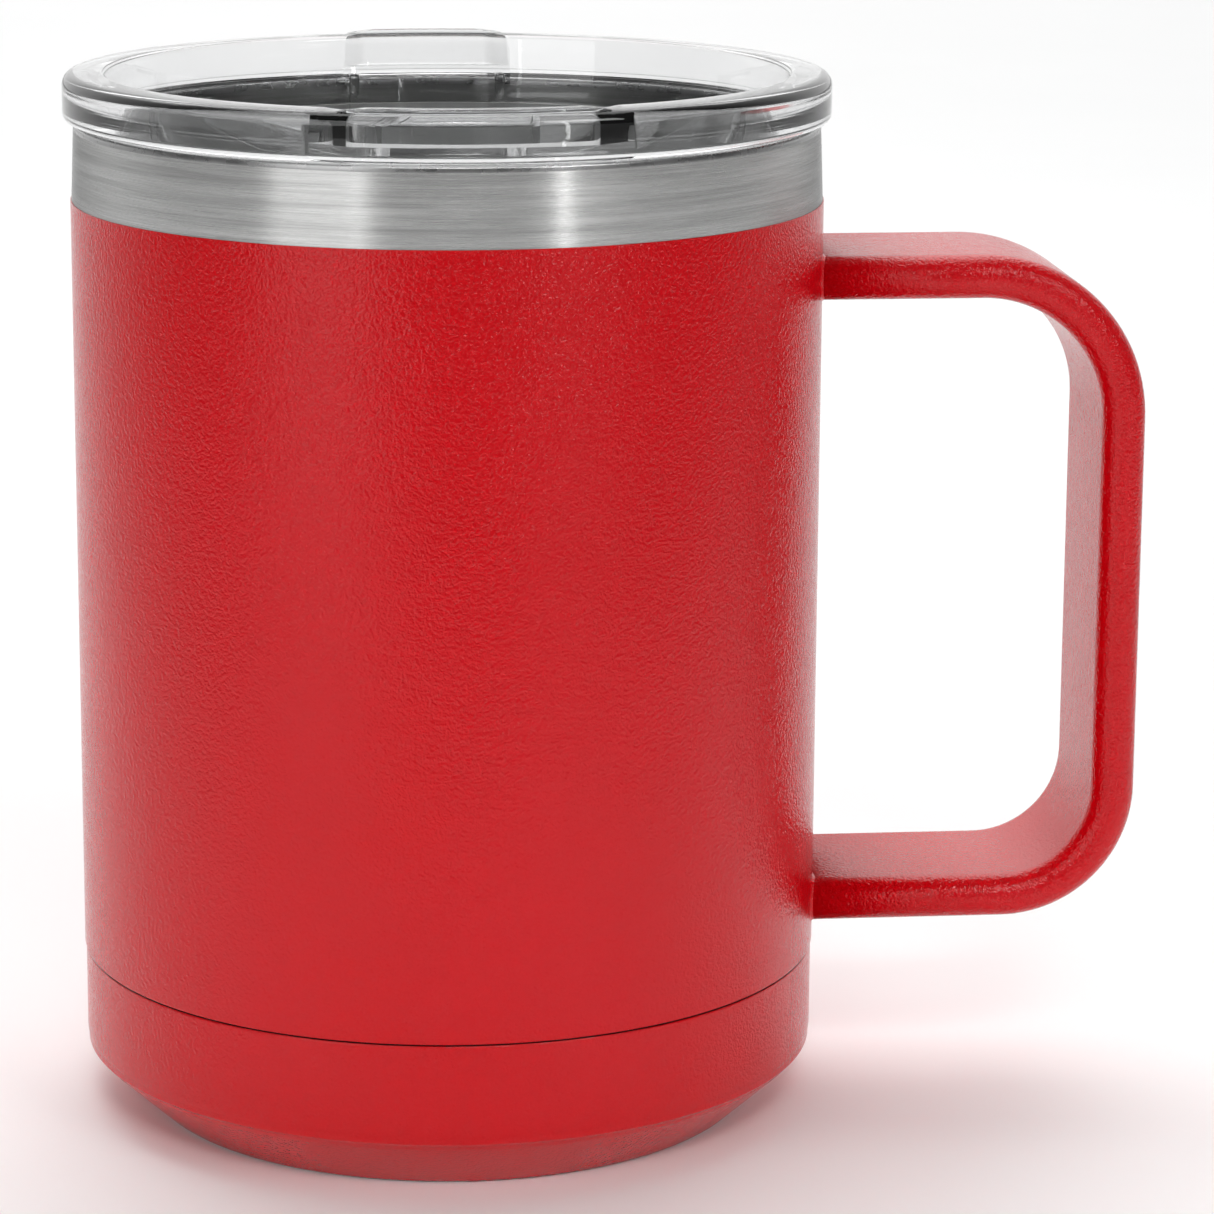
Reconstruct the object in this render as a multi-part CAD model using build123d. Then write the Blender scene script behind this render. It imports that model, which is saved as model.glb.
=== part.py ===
from build123d import *

import math
import os

# Insulated travel mug: a double-walled steel cup with a strap handle, a clear press-in lid and a slider.
# Millimetres. The origin is the centre of the foot, +Z runs up the cup, the handle points along +X,
# and the slider of the lid runs along Y.

# Cup, outside
coat_radius = 43.0
coat_thickness = 0.12
shell_radius = coat_radius - coat_thickness
shell_wall = 0.6
seam_height = 18.65
coat_top = 106.4
steel_top = 114.5
lip_top = 115.4
lip_taper = 0.35
lip_crown = 0.5

# Base cup, with a sloping side down to a narrow foot
base_step = 0.15
base_radius = shell_radius - base_step
slope_height = 7.15
slope_fillet = 3.4
foot_radius = 35.1
foot_fillet = 1.0
foot_coat_height = 0.05
recess_radius = 30.2
recess_height = 2.6
vent_radius = 1.0

# Bottom cover and the parts of the vacuum space
cover_radius = 29.6
cover_bottom = 1.0
cover_wall = 0.5
cover_corner = 0.4
bead_radius = 2.0
bead_height = 0.8
pellet_radius = 4.0
pellet_height = 2.0
pellet_edge = 0.3
pellet_offset = 15.0
clip_width = 5.0
clip_sheet = 0.3
clip_gap = 0.1
clip_foot_length = 4.0
foil_thickness = 0.1
foil_gap = 0.1
foil_bottom = 17.0
foil_top = 100.0

# Liner
liner_wall = 0.5
liner_radius = 39.2
mouth_radius = 41.2
shoulder_bottom = 104.6
shoulder_top = 106.4
liner_weld_height = 16.5
liner_floor = 9.0
liner_corner = 6.0

# Handle: a flat hollow strap bent into a squared loop, given by its middle line
strap_width = 22.3
strap_thickness = 4.8
strap_sheet = 0.8
strap_edge = 2.35
strap_top = 97.7
strap_bottom = 24.1
strap_reach = 77.5
strap_start = 38.0
strap_top_bend = 16.7
strap_bottom_bend = 13.0
weld_size = 0.4

# Lid
lid_radius = 43.75
flange_bottom = 115.5
lid_top = 120.8
lid_top_round = 1.4
lid_bottom_round = 1.7
rim_inner_radius = 38.9
rim_inner_round = 0.5
plug_radius = 39.9
plug_bottom = 107.0
lid_floor_top = 108.8
lid_floor_radius = 37.7
lid_floor_round = 0.8
plug_round = 0.6
groove_bottom = 109.4
groove_top = 112.6
groove_depth = 1.0
bay_floor = 117.1
bay_start = 31.0
bay_radius = 42.0
front_bay_inner = 16.2
front_bay_outer = 12.9
back_bay_inner = 9.8
back_bay_outer = 7.7
lip_rise = 0.45
front_lip_half = 14.5
back_lip_half = 9.5
lip_outer_radius = 43.0
rib_offset = 8.9
rib_width = 1.2
rib_inner_radius = 36.4
rib_outer_radius = 38.2
rib_top = 116.4
opening_width = 13.6
opening_depth = 6.4
opening_centre = -32.4
opening_corner = 2.5
air_hole_radius = 1.0
air_hole_centre = 31.0

# Rails and slider
rail_inner = 7.6
rail_outer = 9.0
rail_front = -30.0
rail_back = 22.0
rail_top = lid_floor_top + 1.8
rail_lip_bottom = lid_floor_top + 1.35
rail_lip_inner = 6.7
slider_front = -36.6
slider_back = -6.0
slider_flange_half = 7.4
slider_body_half = 6.4
slider_bottom = lid_floor_top + 0.45
slider_flange_top = slider_bottom + 0.75
slider_top = slider_bottom + 1.25
slider_corner = 3.0
tab_half = 5.0
tab_setback = 0.4
tab_back = -33.0
tab_top = slider_bottom + 3.0
tab_round = 0.8
ridge_half = 4.0
ridge_width = 0.7
ridge_height = 0.3
ridge_pitch = 1.8
ridge_count = 3
ridge_centre = -12.0
pad_top_gap = 0.05
pad_half_width = 7.0
pad_front = -36.4
pad_back = -28.4
pad_corner = 2.6

# Gasket
gasket_play = 0.05
gasket_radius = 39.8
fin_radius = 41.0
fin_edge = 0.3
fin_height = 0.7
fin_droop = 0.5


def ring(inner, outer, bottom, top):
    """A plain ring about the Z axis."""
    tube = Cylinder(outer, top - bottom) - Cylinder(inner, top - bottom)
    return Pos(0, 0, (bottom + top) / 2) * tube


def turned(points, rounds=None):
    """The solid turned from (radius, height) points. rounds maps a corner to its radius."""
    outline = make_face(Polyline(*points, close=True))
    for corner, radius in (rounds or {}).items():
        spot = Vector(*corner)
        near = min(outline.vertices(), key=lambda v: (Vector(v.X, v.Y, 0) - spot).length)
        outline = fillet(near, radius)
    return revolve(Plane.XZ * outline, Axis.Z)


def slab(half_width, front, back, bottom, top, corner):
    """A flat bar along Y with rounded corners in plan."""
    plan = RectangleRounded(2 * half_width, back - front, corner)
    return Pos(0, (front + back) / 2, bottom) * extrude(plan, top - bottom)


def outer_shell():
    """The steel tube of the outside wall, drawn in slightly at the bare band under the lip."""
    taper = lip_taper * (steel_top - coat_top) / (lip_top - coat_top)
    return turned(
        [
            (shell_radius - shell_wall, seam_height),
            (shell_radius, seam_height),
            (shell_radius, coat_top),
            (shell_radius - taper, steel_top),
            (shell_radius - taper - shell_wall, steel_top),
            (shell_radius - shell_wall, coat_top),
        ]
    )


def base_outline(grow):
    """The outside of the base cup as a filled turned solid, grown by the given amount."""
    wall = base_radius + grow
    corner = (wall, slope_height)
    foot = (foot_radius + grow, -grow)
    return turned(
        [(0, -grow), foot, corner, (wall, seam_height), (0, seam_height)],
        {corner: slope_fillet, foot: foot_fillet},
    )


def base_cup():
    """The pressed steel cup that closes the outside wall, with its recess and the hole for pumping out."""
    slope_angle = math.atan2(base_radius - foot_radius, slope_height)
    foot_corner = (foot_radius - shell_wall * math.tan(math.pi / 4 - slope_angle / 2), shell_wall)
    slope_corner = (base_radius - shell_wall, slope_height + shell_wall * math.tan(slope_angle / 2))
    inside = turned(
        [
            (0, recess_height + shell_wall),
            (recess_radius + shell_wall, recess_height + shell_wall),
            (recess_radius + shell_wall, shell_wall),
            foot_corner,
            slope_corner,
            (base_radius - shell_wall, seam_height),
            (0, seam_height),
        ],
        {slope_corner: slope_fillet - shell_wall},
    )
    recess = Pos(0, 0, recess_height / 2) * Cylinder(recess_radius, recess_height)
    vent = Pos(0, 0, recess_height + shell_wall / 2) * Cylinder(vent_radius, shell_wall)
    return base_outline(0) - inside - recess - vent


def bottom_cover():
    """The thin steel pan that hides the sealed hole under the base."""
    inner = cover_radius - cover_wall
    return turned(
        [
            (0, cover_bottom),
            (cover_radius, cover_bottom),
            (cover_radius, recess_height),
            (inner, recess_height),
            (inner, cover_bottom + cover_wall),
            (0, cover_bottom + cover_wall),
        ],
        {(cover_radius, cover_bottom): cover_corner},
    )


def seal_bead():
    """The drop of solder that closes the pumping hole from below, with its plug inside the hole."""
    dome_radius = (bead_radius**2 + bead_height**2) / (2 * bead_height)
    ball = Pos(0, 0, recess_height - bead_height + dome_radius) * Sphere(dome_radius)
    below = Pos(0, 0, recess_height - bead_height / 2) * Cylinder(bead_radius, bead_height)
    plug = Pos(0, 0, recess_height + shell_wall / 2) * Cylinder(vent_radius, shell_wall)
    return (ball & below) + plug


def inner_liner():
    """The drink-side steel tube: a wide mouth that takes the lid, a shoulder and the straight wall."""
    return turned(
        [
            (liner_radius, liner_weld_height),
            (liner_radius + liner_wall, liner_weld_height),
            (liner_radius + liner_wall, shoulder_bottom),
            (mouth_radius + liner_wall, shoulder_top),
            (mouth_radius + liner_wall, steel_top),
            (mouth_radius, steel_top),
            (mouth_radius, shoulder_top),
            (liner_radius, shoulder_bottom),
        ]
    )


def rounded_pan(radius, floor, corner):
    """A filled pan up to the liner weld, with a rounded corner at its floor."""
    top = liner_weld_height
    return turned([(0, floor), (radius, floor), (radius, top), (0, top)], {(radius, floor): corner})


def liner_bottom():
    """The rounded bottom pan welded to the liner tube."""
    pan = rounded_pan(liner_radius + liner_wall, liner_floor - liner_wall, liner_corner + liner_wall)
    return pan - rounded_pan(liner_radius, liner_floor, liner_corner)


def rim_weld():
    """The rounded, polished weld that joins the outside wall and the liner at the lip."""
    taper = lip_taper * (steel_top - coat_top) / (lip_top - coat_top)
    outer = shell_radius - taper
    shoulder = lip_top - lip_crown
    outer_top = (outer, shoulder)
    mouth_top = (mouth_radius, shoulder)
    crown = ThreePointArc(mouth_top, ((mouth_radius + outer) / 2, lip_top), outer_top)
    sides = Polyline(outer_top, (outer, steel_top), (mouth_radius, steel_top), mouth_top)
    return revolve(Plane.XZ * make_face(crown + sides), Axis.Z)


def copper_foil():
    """The thin copper sheet wrapped round the liner inside the vacuum space."""
    inner = liner_radius + liner_wall + foil_gap
    return ring(inner, inner + foil_thickness, foil_bottom, foil_top)


def getter_pellet():
    """The pellet that soaks up stray gas in the vacuum space."""
    floor = recess_height + shell_wall
    pellet = Pos(pellet_offset, 0, floor + pellet_height / 2) * Cylinder(pellet_radius, pellet_height)
    return fillet(pellet.edges().filter_by(GeomType.CIRCLE), pellet_edge)


def getter_clip():
    """The bent strip, spot-welded to the base, that holds the pellet down."""
    floor = recess_height + shell_wall
    inner_top = floor + pellet_height
    inner_half = pellet_radius + clip_gap
    outer_half = inner_half + clip_sheet
    foot_half = outer_half + clip_foot_length
    side = Polyline(
        (-foot_half, floor),
        (-inner_half, floor),
        (-inner_half, inner_top),
        (inner_half, inner_top),
        (inner_half, floor),
        (foot_half, floor),
        (foot_half, floor + clip_sheet),
        (outer_half, floor + clip_sheet),
        (outer_half, inner_top + clip_sheet),
        (-outer_half, inner_top + clip_sheet),
        (-outer_half, floor + clip_sheet),
        (-foot_half, floor + clip_sheet),
        close=True,
    )
    strip = extrude(Plane.YZ * make_face(side), clip_width / 2, both=True)
    return Pos(pellet_offset, 0, 0) * strip


def strap_path():
    """The middle line of the handle, out along the upper arm, down and back along the lower arm."""
    return FilletPolyline(
        (strap_start, 0, strap_top),
        (strap_reach, 0, strap_top),
        (strap_reach, 0, strap_bottom),
        (strap_start, 0, strap_bottom),
        radius=[strap_top_bend, strap_bottom_bend],
    )


def strap_section(grow):
    """The strap's cross-section at the start of its path, grown all round."""
    plane = Plane(origin=(strap_start, 0, strap_top), x_dir=(0, 1, 0), z_dir=(1, 0, 0))
    width = strap_width + 2 * grow
    thickness = strap_thickness + 2 * grow
    return plane, RectangleRounded(width, thickness, strap_edge + grow)


def strap_solid(inner_grow, outer_grow, side=0):
    """A swept strap between two grown sections. side keeps only its outer (+1) or inner (-1) half."""
    plane, outer = strap_section(outer_grow)
    section = outer
    if inner_grow is not None:
        section = outer - strap_section(inner_grow)[1]
    if side:
        half = Pos(0, side * strap_thickness / 2) * Rectangle(2 * strap_width, strap_thickness)
        section = section & half
    return sweep(plane * section, path=strap_path())


def cylinder_to(radius):
    """A tall cylinder about the cup's axis, for trimming."""
    return Pos(0, 0, lip_top / 2) * Cylinder(radius, 2 * lip_top)


def handle_half(side):
    """One of the two pressed halves of the hollow handle: +1 is the outer one, -1 the inner one."""
    return strap_solid(-strap_sheet, 0, side) - cylinder_to(shell_radius)


def handle_weld(height):
    """The weld bead around one end of the handle, where it meets the cup."""
    envelope = Box(strap_width, 2 * strap_width, 4 * strap_thickness)
    collar = strap_solid(0, weld_size) & (Pos(strap_start + strap_width / 2, 0, height) * envelope)
    return (collar & cylinder_to(shell_radius + weld_size)) - cylinder_to(shell_radius)


def coat_body():
    """The powder coat of the outside wall. It stops crisply below the bare steel band."""
    film = ring(shell_radius, coat_radius, seam_height, coat_top)
    return film - strap_solid(None, weld_size)


def coat_base():
    """The powder coat of the base cup, down to the edge of the foot."""
    film = base_outline(coat_thickness) - base_outline(0)
    keep = Cylinder(coat_radius, seam_height - foot_coat_height)
    return film & (Pos(0, 0, (foot_coat_height + seam_height) / 2) * keep)


def coat_handle():
    """The powder coat of the handle."""
    return strap_solid(0, coat_thickness) - cylinder_to(shell_radius + weld_size)


def lid_opening():
    """The drinking opening through the floor of the lid."""
    front = opening_centre - opening_depth / 2
    back = opening_centre + opening_depth / 2
    return slab(opening_width / 2, front, back, plug_bottom, lid_floor_top, opening_corner)


def lid_rails():
    """The two undercut rails that hold the slider down."""
    section = Polyline(
        (rail_inner, lid_floor_top),
        (rail_outer, lid_floor_top),
        (rail_outer, rail_top),
        (rail_lip_inner, rail_top),
        (rail_lip_inner, rail_lip_bottom),
        (rail_inner, rail_lip_bottom),
        close=True,
    )
    length = rail_back - rail_front
    rail = extrude(Plane.XZ * make_face(section), length / 2, both=True)
    rail = Pos(0, (rail_front + rail_back) / 2, 0) * rail
    return rail + mirror(rail, Plane.YZ)


def lid_bay(inner_half, outer_half, side):
    """A bay cut into the rim down to a ledge. Its side walls draw together towards the outside."""
    inner_reach = math.sqrt(rim_inner_radius**2 - inner_half**2)
    outer_reach = math.sqrt(bay_radius**2 - outer_half**2)
    plan = Polyline(
        (-inner_half, side * bay_start),
        (-inner_half, side * inner_reach),
        (-outer_half, side * outer_reach),
        (-outer_half, side * lid_radius),
        (outer_half, side * lid_radius),
        (outer_half, side * outer_reach),
        (inner_half, side * inner_reach),
        (inner_half, side * bay_start),
        close=True,
    )
    height = lid_top + lip_rise - bay_floor
    prism = Pos(0, 0, bay_floor) * extrude(make_face(plan), height)
    return prism & (Pos(0, 0, bay_floor + height / 2) * Cylinder(bay_radius, height))


def lid_ribs():
    """Two upright ribs on the recess wall under the sides of the back bay."""
    sheet = Pos(0, lid_radius / 2, (lid_floor_top + rib_top) / 2) * Box(rib_width, lid_radius, lid_top)
    sheets = (Pos(rib_offset, 0, 0) * sheet) + (Pos(-rib_offset, 0, 0) * sheet)
    return sheets & ring(rib_inner_radius, rib_outer_radius, lid_floor_top, rib_top)


def lid_body():
    """The clear lid: a flange on the lip and a deep recess with two bays, pressed into the mouth."""
    cast = turned(
        [
            (0, plug_bottom),
            (plug_radius, plug_bottom),
            (plug_radius, groove_bottom),
            (plug_radius - groove_depth, groove_bottom),
            (plug_radius - groove_depth, groove_top),
            (plug_radius, groove_top),
            (plug_radius, flange_bottom),
            (lid_radius, flange_bottom),
            (lid_radius, lid_top),
            (rim_inner_radius, lid_top),
            (lid_floor_radius, lid_floor_top),
            (0, lid_floor_top),
        ],
        {
            (plug_radius, plug_bottom): plug_round,
            (lid_radius, flange_bottom): lid_bottom_round,
            (lid_radius, lid_top): lid_top_round,
            (rim_inner_radius, lid_top): rim_inner_round,
            (lid_floor_radius, lid_floor_top): lid_floor_round,
        },
    )
    across = 2 * lid_radius
    raised = ring(bay_radius, lip_outer_radius, lid_top - lid_top_round, lid_top + lip_rise)
    front_part = Pos(0, -across / 2, lid_top) * Box(2 * front_lip_half, across, 4 * lid_top_round)
    back_part = Pos(0, across / 2, lid_top) * Box(2 * back_lip_half, across, 4 * lid_top_round)
    raised = raised & (front_part + back_part)
    bays = lid_bay(front_bay_inner, front_bay_outer, -1) + lid_bay(back_bay_inner, back_bay_outer, 1)
    air_hole = Cylinder(air_hole_radius, 4 * (lid_floor_top - plug_bottom))
    air_hole = Pos(0, air_hole_centre, lid_floor_top) * air_hole
    return cast + raised - bays + lid_ribs() + lid_rails() - lid_opening() - air_hole


def slider():
    """The sliding cover of the drinking opening, with a tab at its front and low ridges."""
    length = (slider_front, slider_back)
    flange = slab(slider_flange_half, *length, slider_bottom, slider_flange_top, slider_corner)
    bar = slab(slider_body_half, *length, slider_bottom, slider_top, slider_corner)
    tab_front = slider_front + tab_setback
    tab = slab(tab_half, tab_front, tab_back, slider_flange_top, tab_top, tab_round)
    body = flange + bar + tab
    for step in range(ridge_count):
        place = ridge_centre + (step - (ridge_count - 1) / 2) * ridge_pitch
        ridge = Box(2 * ridge_half, ridge_width, 2 * ridge_height)
        body += Pos(0, place, slider_top) * ridge
    return body


def slider_seal():
    """The soft pad under the slider that closes the drinking opening."""
    bottom = lid_floor_top + pad_top_gap
    return slab(pad_half_width, pad_front, pad_back, bottom, slider_bottom, pad_corner)


def lid_gasket():
    """The silicone ring in the groove of the plug, with two fins that wipe the mouth of the cup."""
    inner = plug_radius - groove_depth + gasket_play
    bottom = groove_bottom + gasket_play
    top = groove_top - gasket_play
    middle = (bottom + top) / 2
    return turned(
        [
            (inner, bottom),
            (gasket_radius, bottom),
            (fin_radius, bottom + fin_droop),
            (fin_radius, bottom + fin_droop + fin_edge),
            (gasket_radius, bottom + fin_height),
            (gasket_radius, middle),
            (fin_radius, middle + fin_droop),
            (fin_radius, middle + fin_droop + fin_edge),
            (gasket_radius, middle + fin_height),
            (gasket_radius, top),
            (inner, top),
        ]
    )


nodes = {
    "outer_shell": outer_shell(),
    "base_cup": base_cup(),
    "bottom_cover": bottom_cover(),
    "seal_bead": seal_bead(),
    "inner_liner": inner_liner(),
    "liner_bottom": liner_bottom(),
    "rim_weld": rim_weld(),
    "copper_foil": copper_foil(),
    "getter_pellet": getter_pellet(),
    "getter_clip": getter_clip(),
    "handle_outer_half": handle_half(1),
    "handle_inner_half": handle_half(-1),
    "handle_weld_top": handle_weld(strap_top),
    "handle_weld_bottom": handle_weld(strap_bottom),
    "coat_body": coat_body(),
    "coat_base": coat_base(),
    "coat_handle": coat_handle(),
    "lid_gasket": lid_gasket(),
    "lid_body": lid_body(),
    "slider": slider(),
    "slider_seal": slider_seal(),
}

os.makedirs("parts", exist_ok=True)
for name, shape in nodes.items():
    shape.label = name
    export_step(shape, f"parts/{name}.step")
    print(name, len(shape.solids()), round(shape.volume, 1))
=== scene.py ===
import math

import bmesh
import bpy
from mathutils import Matrix, Vector


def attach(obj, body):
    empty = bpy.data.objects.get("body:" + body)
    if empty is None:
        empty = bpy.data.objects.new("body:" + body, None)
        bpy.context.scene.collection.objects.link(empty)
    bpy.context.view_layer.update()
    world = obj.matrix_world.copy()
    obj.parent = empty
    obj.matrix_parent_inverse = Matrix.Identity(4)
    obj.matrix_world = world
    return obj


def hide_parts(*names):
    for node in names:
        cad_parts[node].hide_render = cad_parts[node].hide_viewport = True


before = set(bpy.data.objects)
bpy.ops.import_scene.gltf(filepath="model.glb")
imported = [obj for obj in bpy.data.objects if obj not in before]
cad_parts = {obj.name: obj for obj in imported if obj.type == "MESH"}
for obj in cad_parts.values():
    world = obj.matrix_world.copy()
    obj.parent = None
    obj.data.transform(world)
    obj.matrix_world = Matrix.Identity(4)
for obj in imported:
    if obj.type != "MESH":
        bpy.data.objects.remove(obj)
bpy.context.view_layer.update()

mm = 0.001
print("mug frame loaded,", len(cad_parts), "nodes")


# shaping tools, all sizes given to them in millimetres
def letGo():
    if bpy.context.object and bpy.context.object.mode != "OBJECT":
        bpy.ops.object.mode_set(mode="OBJECT")
    bpy.ops.object.select_all(action="DESELECT")


def openMesh(piece, kind="EDGE"):
    letGo()
    piece.select_set(True)
    bpy.context.view_layer.objects.active = piece
    bpy.ops.object.mode_set(mode="EDIT")
    bpy.ops.mesh.select_mode(type=kind)
    bpy.ops.mesh.select_all(action="DESELECT")


def closeMesh(piece, smoothAngle=30):
    # doubles first, then normals, then the object goes back to the origin
    bpy.ops.mesh.select_mode(type="VERT")
    bpy.ops.mesh.select_all(action="SELECT")
    bpy.ops.mesh.remove_doubles(threshold=0.002 * mm)
    bpy.ops.mesh.normals_make_consistent(inside=False)
    bpy.ops.object.mode_set(mode="OBJECT")
    bpy.ops.object.transform_apply(location=True, rotation=True, scale=True)
    bpy.ops.object.shade_smooth_by_angle(angle=math.radians(smoothAngle))


def rename(piece, name):
    piece.name = name
    piece.data.name = name
    return piece


def pick(piece, kind, test):
    shape = bmesh.from_edit_mesh(piece.data)
    for part in getattr(shape, kind):
        part.select_set(False)
    for part in getattr(shape, kind):
        if test(part):
            part.select_set(True)
    bmesh.update_edit_mesh(piece.data)


def ringTest(radius, height, slack=0.02):
    # true for an edge that lies on the ring at this radius and height
    def onRing(vert):
        away = math.hypot(vert.co.x, vert.co.y) / mm
        return abs(away - radius) < slack and abs(vert.co.z / mm - height) < slack
    return lambda edge: all(onRing(vert) for vert in edge.verts)


def roundRing(piece, radius, height, offset, steps):
    pick(piece, "edges", ringTest(radius, height))
    bpy.ops.mesh.bevel(offset_type="OFFSET", offset=offset * mm, segments=steps, profile=0.5, affect="EDGES")


def turnPiece(name, outline, rounds=(), segments=256, ends="join", smoothAngle=30):
    # a circle drawn through the outline ring by ring. rounds lists (radius, height, offset, steps)
    letGo()
    radius, height = outline[0]
    bpy.ops.mesh.primitive_circle_add(vertices=segments, radius=radius * mm)
    piece = rename(bpy.context.object, name)
    openMesh(piece)
    bpy.ops.mesh.select_all(action="SELECT")
    bpy.ops.transform.translate(value=(0, 0, height * mm))
    if ends == "caps":
        bpy.ops.mesh.edge_face_add()
        bpy.ops.mesh.duplicate()
        bpy.ops.mesh.delete(type="ONLY_FACE")
        pick(piece, "edges", lambda edge: edge.is_wire)
    path = list(outline[1:])
    if ends == "join":
        path.append(outline[0])
    for nextRadius, nextHeight in path:
        rise = (nextHeight - height) * mm
        bpy.ops.mesh.extrude_region_move(TRANSFORM_OT_translate={"value": (0, 0, rise)})
        grow = nextRadius / radius
        bpy.ops.transform.resize(value=(grow, grow, 1), center_override=(0, 0, nextHeight * mm))
        radius, height = nextRadius, nextHeight
    if ends == "caps":
        bpy.ops.mesh.edge_face_add()
    bpy.ops.mesh.select_all(action="SELECT")
    bpy.ops.mesh.remove_doubles(threshold=0.002 * mm)
    for ring in rounds:
        roundRing(piece, *ring)
    closeMesh(piece, smoothAngle)
    return piece


def barPiece(name, low, high, cornerRound=0, cornerSteps=6, edgeRound=0, edgeSteps=3, smoothAngle=35):
    # a cube between two corners, with its upright edges rounded and then its top and bottom edges
    letGo()
    middle = [(a + b) / 2 * mm for a, b in zip(low, high)]
    size = [(b - a) * mm for a, b in zip(low, high)]
    bpy.ops.mesh.primitive_cube_add(size=1, location=middle)
    piece = rename(bpy.context.object, name)
    piece.scale = size
    bpy.ops.object.transform_apply(location=True, rotation=True, scale=True)
    openMesh(piece)
    if cornerRound:
        pick(piece, "edges", lambda edge: abs(edge.verts[0].co.z - edge.verts[1].co.z) > 0.5 * size[2])
        bpy.ops.mesh.bevel(offset=cornerRound * mm, segments=cornerSteps, profile=0.5, affect="EDGES")
    if edgeRound:
        pick(piece, "edges", lambda edge: abs(edge.verts[0].co.z - edge.verts[1].co.z) < 0.001 * mm)
        bpy.ops.mesh.bevel(offset=edgeRound * mm, segments=edgeSteps, profile=0.5, affect="EDGES")
    closeMesh(piece, smoothAngle)
    return piece


def useModifier(piece, kind, **settings):
    letGo()
    piece.select_set(True)
    bpy.context.view_layer.objects.active = piece
    modifier = piece.modifiers.new(kind.lower(), kind)
    for name, value in settings.items():
        setattr(modifier, name, value)
    bpy.ops.object.modifier_apply(modifier=modifier.name)


def carve(piece, tool, operation="DIFFERENCE"):
    useModifier(piece, "BOOLEAN", object=tool, operation=operation, solver="EXACT")
    bpy.data.objects.remove(tool, do_unlink=True)


def fit(piece, body, slotName, material, *nodes):
    # the piece rides on its body, stands for its nodes and takes its finish
    piece.data.materials.clear()
    piece.data.materials.append(material)
    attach(piece, body)
    if nodes:
        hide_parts(*nodes)
    return piece


# shader tools
class Signal:
    def __init__(self, finish, socket):
        self.finish = finish
        self.socket = socket

    def mathWith(self, operation, *others, swapped=False):
        values = list(others) + [self] if swapped else [self] + list(others)
        return self.finish.node("ShaderNodeMath", {"operation": operation}, dict(enumerate(values)))

    def __add__(self, other):
        return self.mathWith("ADD", other)

    def __radd__(self, other):
        return self.mathWith("ADD", other, swapped=True)

    def __mul__(self, other):
        return self.mathWith("MULTIPLY", other)

    def __rmul__(self, other):
        return self.mathWith("MULTIPLY", other, swapped=True)

    def __truediv__(self, other):
        return self.mathWith("DIVIDE", other)

    def __pow__(self, other):
        return self.mathWith("POWER", other)


class Finish:
    def __init__(self, name):
        self.material = bpy.data.materials.new(name)
        self.material.use_nodes = True
        self.tree = self.material.node_tree
        self.shader = self.tree.nodes["Principled BSDF"]

    def node(self, kind, settings, values, output=0):
        made = self.tree.nodes.new(kind)
        for name, value in settings.items():
            setattr(made, name, value)
        for name, value in values.items():
            self.join(made.inputs[name], value)
        return Signal(self, made.outputs[output])

    def join(self, socket, value):
        if isinstance(value, Signal):
            self.tree.links.new(value.socket, socket)
        else:
            socket.default_value = value

    def set(self, **sockets):
        for name, value in sockets.items():
            self.join(self.shader.inputs[name.replace("_", " ")], value)
        return self

    def place(self):
        return self.node("ShaderNodeTexCoord", {}, {}, "Object")

    def scaled(self, vector, scale):
        return self.node("ShaderNodeMapping", {"vector_type": "POINT"}, {"Vector": vector, "Scale": scale})

    def noise(self, vector, scale, detail=3.0, roughness=0.5, distortion=0.0):
        values = {"Vector": vector, "Scale": scale, "Detail": detail, "Roughness": roughness}
        values["Distortion"] = distortion
        return self.node("ShaderNodeTexNoise", {"noise_dimensions": "3D"}, values, "Fac")

    def cells(self, vector, scale):
        values = {"Vector": vector, "Scale": scale}
        return self.node("ShaderNodeTexVoronoi", {"feature": "F1"}, values, "Distance")

    def axes(self, vector):
        made = self.tree.nodes.new("ShaderNodeSeparateXYZ")
        self.join(made.inputs[0], vector)
        return [Signal(self, made.outputs[i]) for i in range(3)]

    def vector(self, x, y, z):
        return self.node("ShaderNodeCombineXYZ", {}, {0: x, 1: y, 2: z})

    def mix(self, factor, first, second):
        return self.node("ShaderNodeMix", {"data_type": "RGBA"}, {0: factor, 6: first, 7: second}, 2)

    def span(self, value, low, high, toLow=0.0, toHigh=1.0):
        values = {"Value": value, "From Min": low, "From Max": high, "To Min": toLow, "To Max": toHigh}
        return self.node("ShaderNodeMapRange", {"clamp": True}, values)

    def bump(self, height, distance, strength=1.0):
        values = {"Height": height, "Distance": distance, "Strength": strength}
        return self.node("ShaderNodeBump", {}, values, "Normal")

    def roundTheCup(self, across, up):
        # a place stretched round the Z axis: long along the ring, short up the wall, with no seam
        x, y, z = self.axes(self.place())
        away = (x * x + y * y) ** 0.5
        return self.vector(x / away * across, y / away * across, z * up)


def redPowderCoat():
    coat = Finish("redPowderCoat")
    place = coat.place()
    peel = coat.noise(place, 2300.0, 1.0, 0.5, 0.2)
    grit = coat.noise(place, 4600.0, 1.0, 0.5)
    waves = coat.noise(place, 600.0, 2.0, 0.5)
    blotch = coat.noise(place, 24.0, 2.0, 0.5)
    height = peel * 0.8 + grit * 0.2 + waves * 0.1
    normal = coat.bump(height, 0.15 * mm, 1.0)
    tone = coat.span(blotch, 0.3, 0.7)
    colour = coat.mix(tone, (0.55, 0.0, 0.003, 1), (0.58, 0.0005, 0.005, 1))
    roughness = coat.span(grit * 0.5 + waves * 0.5, 0.35, 0.65, 0.12, 0.2)
    coat.set(Base_Color=colour, Roughness=roughness, Normal=normal, IOR=1.4)
    return coat.material


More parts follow.
